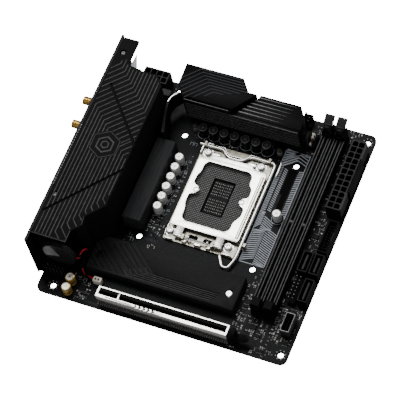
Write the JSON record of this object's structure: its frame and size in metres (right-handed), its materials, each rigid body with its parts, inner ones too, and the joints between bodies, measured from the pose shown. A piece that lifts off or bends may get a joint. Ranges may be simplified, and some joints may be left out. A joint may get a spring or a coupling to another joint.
{
  "type": "motherboard",
  "caption": "Compact square desktop motherboard with a processor socket and its load plate and lever, memory slots, an expansion slot, heatsinks and a covered rear port block.",
  "frame": {"origin": "bottom centre of the bounding box, on the plane of the socket backplate's underside and the rear panel's lower edge", "axes": "+X from the rear panel towards the memory slots, +Y from the expansion slot towards the top heatsink, +Z out of the component side"},
  "size_m": [0.1836, 0.1722, 0.0441],
  "materials": {
    "solder_mask": "black solder mask, satin",
    "black_plastic": "moulded black, satin",
    "cover_plastic": "moulded black with fine lighter line work",
    "grey_plastic": "moulded dark grey",
    "white_plastic": "moulded off-white",
    "black_anodised": "black anodised, bead blasted",
    "steel": "bright nickel-plated steel",
    "dark_steel": "black coated steel",
    "nickel": "bright nickel plate",
    "gold": "gold plated",
    "capacitor_can": "bright aluminium can",
    "battery_sleeve": "shrink sleeve over a steel cell",
    "red_wire": "red insulation"
  },
  "bodies": {
    "board": {"pcb": "solder_mask", "socket_backplate": "dark_steel", "socket_housing": "grey_plastic", "socket_frame": "steel", "socket_hinge_pin": "steel", "dimm_slot_1": "black_plastic", "dimm_slot_2": "black_plastic", "pcie_slot": "black_plastic", "pcie_shell": "steel", "atx_power_connector": "black_plastic", "cpu_power_connector": "black_plastic", "usb3_header": "black_plastic", "usb_c_header": "steel", "front_panel_header": "black_plastic", "audio_header": "black_plastic", "fan_header": "white_plastic", "io_shield": "dark_steel", "io_cover": "cover_plastic", "antenna_jack_1": "gold", "antenna_jack_2": "gold", "audio_jack_block": "black_plastic", "usb_port_block_1": "steel", "usb_port_block_2": "steel", "lan_port": "steel", "display_port_block": "steel", "button_switches": "black_plastic", "battery": "battery_sleeve", "battery_lead": "red_wire", "battery_connector": "white_plastic", "vrm_heatsink_top": "black_anodised", "vrm_heatsink_side": "black_anodised", "heat_pipe": "nickel", "m2_heatsink": "black_anodised", "bulk_capacitor": "capacitor_can", "socket_screw_1": "steel", "socket_screw_2": "steel", "socket_screw_3": "steel", "socket_screw_4": "steel", "vrm_capacitor_1": "capacitor_can", "vrm_capacitor_2": "capacitor_can", "vrm_capacitor_3": "capacitor_can", "vrm_capacitor_4": "capacitor_can", "vrm_capacitor_5": "capacitor_can", "vrm_capacitor_6": "capacitor_can", "audio_capacitor_1": "gold", "m2_screw_1": "steel", "io_cover_screw_1": "steel", "audio_capacitor_2": "gold", "m2_screw_2": "steel", "io_cover_screw_2": "steel", "sata_port_1": "black_plastic", "sata_port_2": "black_plastic", "sata_port_3": "black_plastic"},
    "load_plate": {"socket_load_plate": "steel"},
    "lever": {"socket_lever": "steel"},
    "latch_1": {"dimm_latch_1": "grey_plastic"},
    "latch_2": {"dimm_latch_2": "grey_plastic"},
    "slot_latch": {"pcie_latch": "black_plastic"},
    "bios_key": {"bios_button": "grey_plastic"},
    "clear_key": {"clear_cmos_button": "grey_plastic"}
  },
  "joints": [
    {"name": "load_plate_hinge", "type": "hinge", "parent": "board", "child": "load_plate", "pos_m": [0.00975, -0.02413, 0.0077], "axis": [1, 0, 0], "range_deg": [0, 110]},
    {"name": "lever_hinge", "type": "hinge", "parent": "board", "child": "lever", "pos_m": [0.00975, 0.04378, 0.0067], "axis": [-1, 0, 0], "range_deg": [0, 105]},
    {"name": "dimm_latch_1_hinge", "type": "hinge", "parent": "board", "child": "latch_1", "pos_m": [0.06255, 0.07447, 0.0073], "axis": [-1, 0, 0], "range_deg": [0, 32]},
    {"name": "dimm_latch_2_hinge", "type": "hinge", "parent": "board", "child": "latch_2", "pos_m": [0.07095, 0.07447, 0.0073], "axis": [-1, 0, 0], "range_deg": [0, 32]},
    {"name": "pcie_latch_hinge", "type": "hinge", "parent": "board", "child": "slot_latch", "pos_m": [0.05655, -0.07902, 0.0065], "axis": [0, 1, 0], "range_deg": [0, 20]},
    {"name": "bios_button_slide", "type": "slide", "parent": "board", "child": "bios_key", "axis": [1, 0, 0], "range_m": [0, 0.001], "stiffness_N_per_m": 500},
    {"name": "clear_cmos_button_slide", "type": "slide", "parent": "board", "child": "clear_key", "axis": [1, 0, 0], "range_m": [0, 0.001], "stiffness_N_per_m": 500}
  ]
}
